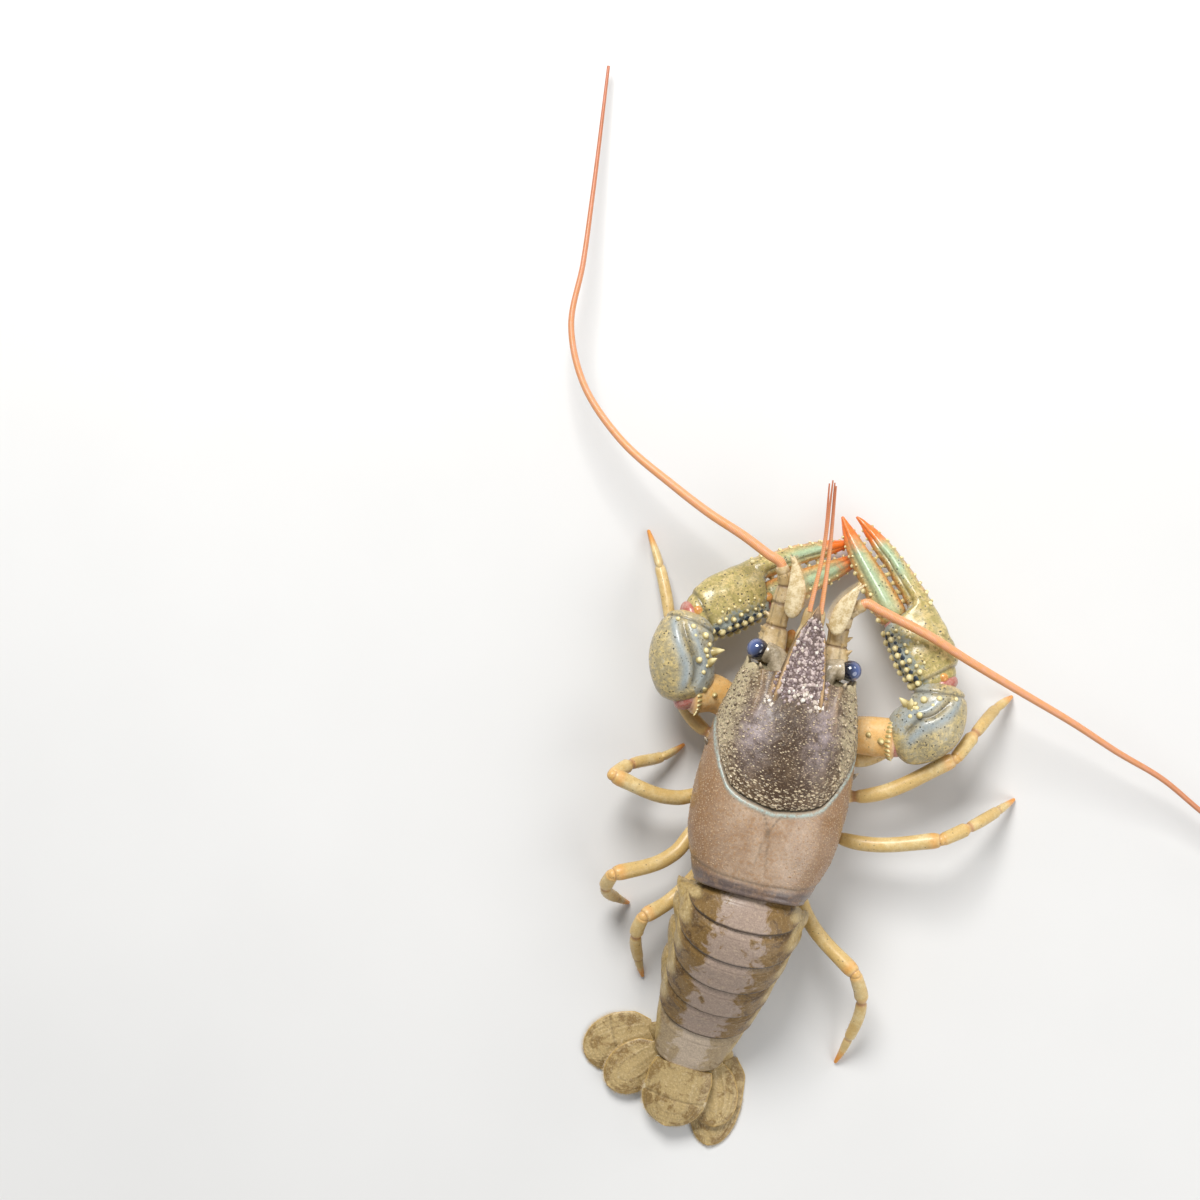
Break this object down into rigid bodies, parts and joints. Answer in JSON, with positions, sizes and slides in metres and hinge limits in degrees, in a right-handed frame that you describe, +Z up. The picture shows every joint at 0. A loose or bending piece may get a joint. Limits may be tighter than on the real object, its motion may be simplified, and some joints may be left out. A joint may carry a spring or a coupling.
{
  "type": "crayfish",
  "caption": "Life-size still model of a small brown crayfish with olive claws folded forward, long feelers and a fanned tail, standing on the floor",
  "frame": {"origin": "on the floor, under the middle of the model's whole footprint, feelers included", "axes": "+X the animal's right side, +Y forward from tail to head, +Z up"},
  "size_m": [0.1546, 0.1738, 0.0269],
  "materials": {
    "shell": "wet glossy taupe-brown shell with pale specks",
    "tail": "wet glossy olive-brown plates, mottled",
    "claw": "wet olive-green shell with yellow bumps and orange tips",
    "leg": "straw-yellow shell with orange tips",
    "antenna": "ringed salmon-orange",
    "cream": "pale cream to olive-grey",
    "eye": "glossy blue-black",
    "underside": "pale straw underside"
  },
  "bodies": {
    "root": {"abdomen_1": "tail", "abdomen_2": "tail", "abdomen_3": "tail", "abdomen_4": "tail", "abdomen_5": "tail", "abdomen_6": "tail", "antenna_base_l": "cream", "antenna_base_r": "cream", "antenna_scale_l": "cream", "antenna_scale_r": "cream", "antennule_l": "antenna", "antennule_r": "antenna", "carapace": "shell", "carpus_l": "claw", "carpus_r": "claw", "cheliped_ischium_l": "leg", "cheliped_ischium_r": "leg", "cheliped_merus_l": "leg", "cheliped_merus_r": "leg", "dactyl_l": "claw", "dactyl_r": "claw", "eye_l": "eye", "eye_r": "eye", "eyestalk_l": "cream", "eyestalk_r": "cream", "flagellum_l1": "antenna", "flagellum_l2": "antenna", "flagellum_l3": "antenna", "flagellum_r1": "antenna", "flagellum_r2": "antenna", "flagellum_r3": "antenna", "leg2_l_lower": "leg", "leg2_l_upper": "leg", "leg2_r_lower": "leg", "leg2_r_upper": "leg", "leg3_l_lower": "leg", "leg3_l_upper": "leg", "leg3_r_lower": "leg", "leg3_r_upper": "leg", "leg4_l_lower": "leg", "leg4_l_upper": "leg", "leg4_r_lower": "leg", "leg4_r_upper": "leg", "leg5_l_lower": "leg", "leg5_l_upper": "leg", "leg5_r_lower": "leg", "leg5_r_upper": "leg", "maxilliped_l": "leg", "maxilliped_r": "leg", "palm_l": "claw", "palm_r": "claw", "sternum": "underside", "telson": "tail", "uropod_inner_l": "tail", "uropod_inner_r": "tail", "uropod_outer_l": "tail", "uropod_outer_r": "tail"}
  },
  "joints": []
}
